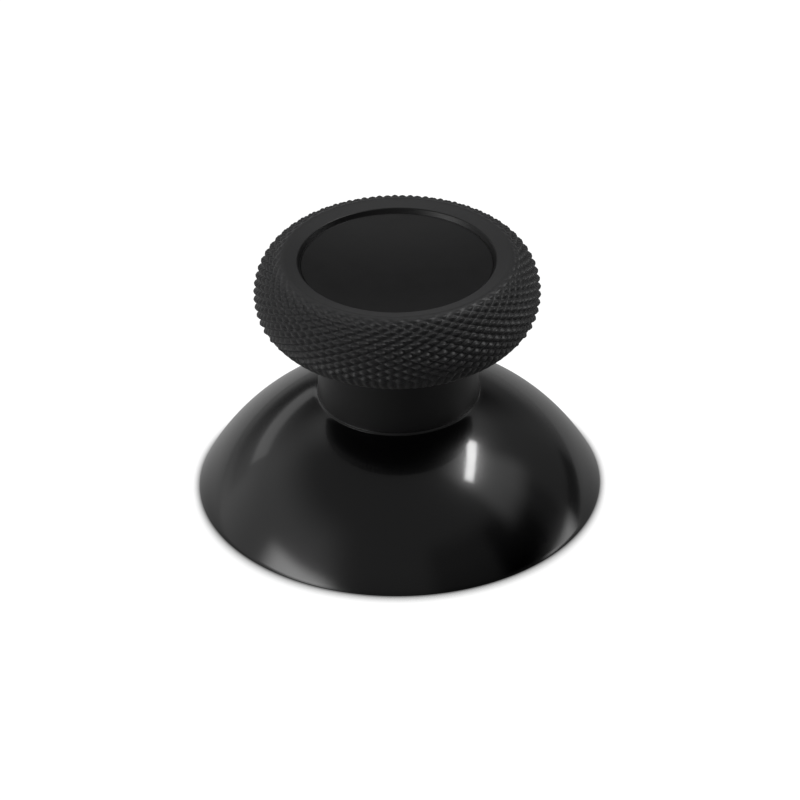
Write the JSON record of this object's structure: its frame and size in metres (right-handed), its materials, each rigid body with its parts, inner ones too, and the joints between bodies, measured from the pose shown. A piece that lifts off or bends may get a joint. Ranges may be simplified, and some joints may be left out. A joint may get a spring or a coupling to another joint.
{
  "type": "thumbstick cap",
  "caption": "Thumbstick cap for a game controller: thin glossy dome, short round neck and a round head with a diamond knurled edge and a dished top.",
  "frame": {"origin": "centre of the rim plane, at the bottom of the dome", "axes": "+Z along the axis of the cap, from the rim up to the dish; the socket's flats face +Y and -Y"},
  "size_m": [0.0252, 0.0252, 0.0165],
  "materials": {
    "black_plastic": "polished on the dome and inside it; fine matte texture on the neck, the knurled edge and the dish"
  },
  "bodies": {
    "root": {"thumbstick_cap": "black_plastic"}
  },
  "joints": []
}
